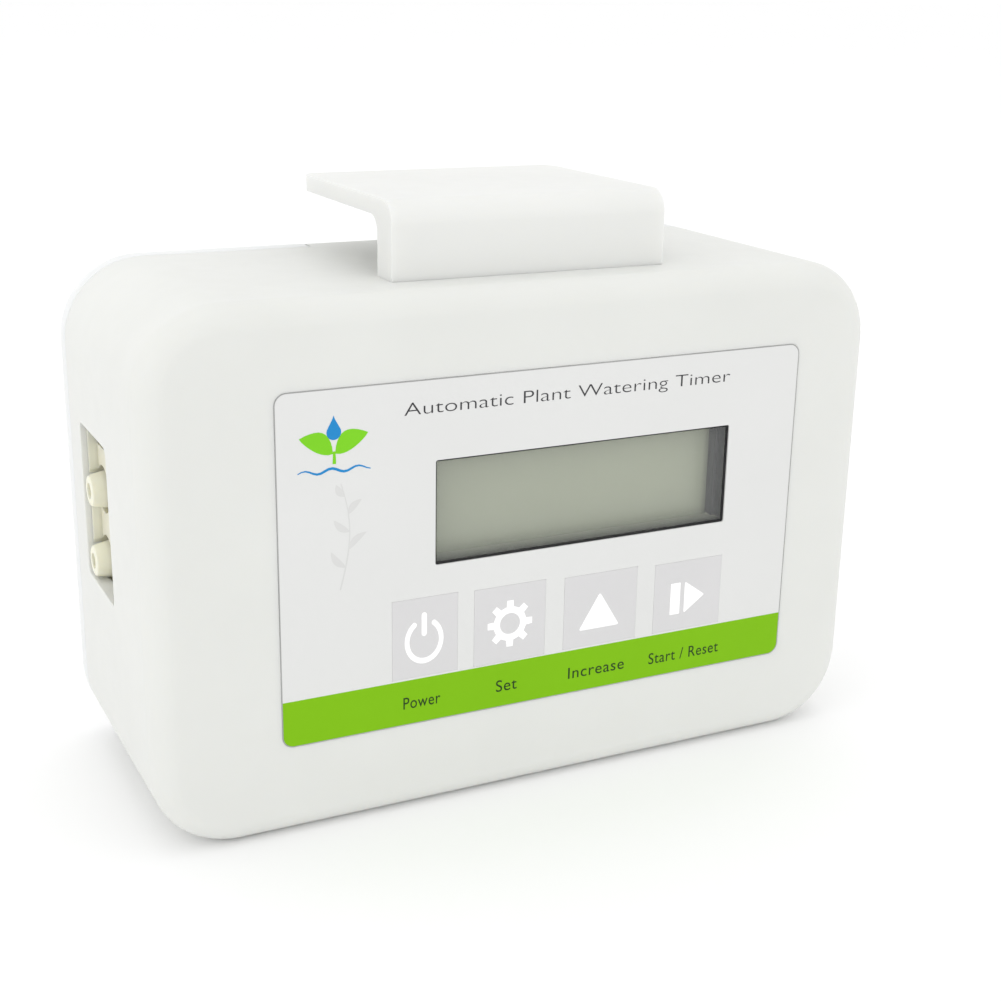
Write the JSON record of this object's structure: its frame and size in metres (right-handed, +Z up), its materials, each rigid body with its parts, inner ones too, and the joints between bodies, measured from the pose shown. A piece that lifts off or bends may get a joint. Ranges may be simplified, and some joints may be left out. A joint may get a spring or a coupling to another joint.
{
  "type": "drip irrigation timer",
  "caption": "Rounded case with a top hanging bracket, blank segment display, film keys and an inner diaphragm pump whose hose barbs face a side opening.",
  "frame": {"origin": "middle of the flat underside that the case stands on", "axes": "+X to the right seen from the front, +Y to the back, +Z up; the printed film faces -Y and the hose barbs -X"},
  "size_m": [0.105, 0.042, 0.08],
  "materials": {
    "shell": "smooth white moulded ABS with a very fine satin grain",
    "cover": "smooth white moulded ABS, slightly cooler than the case",
    "hook": "white moulded plastic, slightly translucent, satin",
    "film": "printed polyester keypad film, satin, off-white with a green band",
    "key": "light grey printed zone of the keypad film with a white icon",
    "pane": "clear window, thin, low gloss",
    "display": "grey-green reflective segment display, blank",
    "bezel": "black moulded frame",
    "silicone": "grey silicone rubber",
    "board": "green solder mask over glass-fibre board",
    "black_plastic": "black moulded plastic",
    "steel": "plated steel",
    "cream_plastic": "cream nylon, slightly translucent",
    "rubber": "black moulded rubber",
    "magnet": "dark sintered ferrite",
    "copper": "copper, enamelled on the winding",
    "cell_wrap": "plain blue shrink sleeve",
    "lead_red": "red PVC insulation",
    "lead_black": "black PVC insulation"
  },
  "bodies": {
    "case": {"front_case": "shell", "rear_cover": "cover", "hanging_hook": "hook", "overlay_film": "film", "display_window": "pane", "lcd_frame": "bezel", "lcd_glass": "display", "lcd_contact_strip": "silicone", "main_board": "board", "microcontroller": "black_plastic", "usb_socket": "steel", "battery_connector": "cream_plastic", "motor_connector": "cream_plastic", "board_screw_1": "steel", "board_screw_2": "steel", "battery_cell": "cell_wrap", "battery_cap": "steel", "battery_lead_red": "lead_red", "battery_lead_black": "lead_black", "motor_can": "steel", "motor_end_cap": "black_plastic", "magnet_upper": "magnet", "magnet_lower": "magnet", "motor_lead_red": "lead_red", "motor_lead_black": "lead_black", "pump_head": "cream_plastic", "valve_flaps": "rubber", "valve_plate": "cream_plastic", "diaphragm": "rubber", "pump_base": "cream_plastic", "pump_screw_1": "steel", "pump_screw_2": "steel", "pump_screw_3": "steel", "case_screw_1": "steel", "case_screw_2": "steel", "case_screw_3": "steel", "case_screw_4": "steel", "power_switch": "black_plastic", "set_switch": "black_plastic", "adjust_switch": "black_plastic", "start_switch": "black_plastic"},
    "pump_shaft": {"motor_shaft": "steel", "rotor_core": "steel", "rotor_winding": "copper", "commutator": "copper", "eccentric": "black_plastic", "wobble_pin": "steel"},
    "wobbler": {"wobble_plate": "cream_plastic"},
    "power_button": {"power_key": "key", "power_plunger": "silicone", "power_stem": "cream_plastic"},
    "set_button": {"set_key": "key", "set_plunger": "silicone", "set_stem": "cream_plastic"},
    "adjust_button": {"adjust_key": "key", "adjust_plunger": "silicone", "adjust_stem": "cream_plastic"},
    "start_button": {"start_key": "key", "start_plunger": "silicone", "start_stem": "cream_plastic"}
  },
  "joints": [
    {"name": "power_press", "type": "slide", "parent": "case", "child": "power_button", "axis": [0, 1, 0], "range_m": [0, 0.00025], "stiffness_N_per_m": 2000, "springref_m": -0.0003},
    {"name": "set_press", "type": "slide", "parent": "case", "child": "set_button", "axis": [0, 1, 0], "range_m": [0, 0.00025], "stiffness_N_per_m": 2000, "springref_m": -0.0003},
    {"name": "adjust_press", "type": "slide", "parent": "case", "child": "adjust_button", "axis": [0, 1, 0], "range_m": [0, 0.00025], "stiffness_N_per_m": 2000, "springref_m": -0.0003},
    {"name": "start_press", "type": "slide", "parent": "case", "child": "start_button", "axis": [0, 1, 0], "range_m": [0, 0.00025], "stiffness_N_per_m": 2000, "springref_m": -0.0003},
    {"name": "pump_spin", "type": "hinge", "parent": "case", "child": "pump_shaft", "pos_m": [0, 0.0052, 0.0362], "axis": [1, 0, 0], "continuous": true},
    {"name": "plate_wobble", "type": "hinge", "parent": "pump_shaft", "child": "wobbler", "pos_m": [-0.0322, 0.0052, 0.0362], "axis": [0.9925, 0, 0.1219], "continuous": true}
  ],
  "couplings": [
    {"joint": "plate_wobble", "follows": "pump_spin", "ratio": -1}
  ]
}
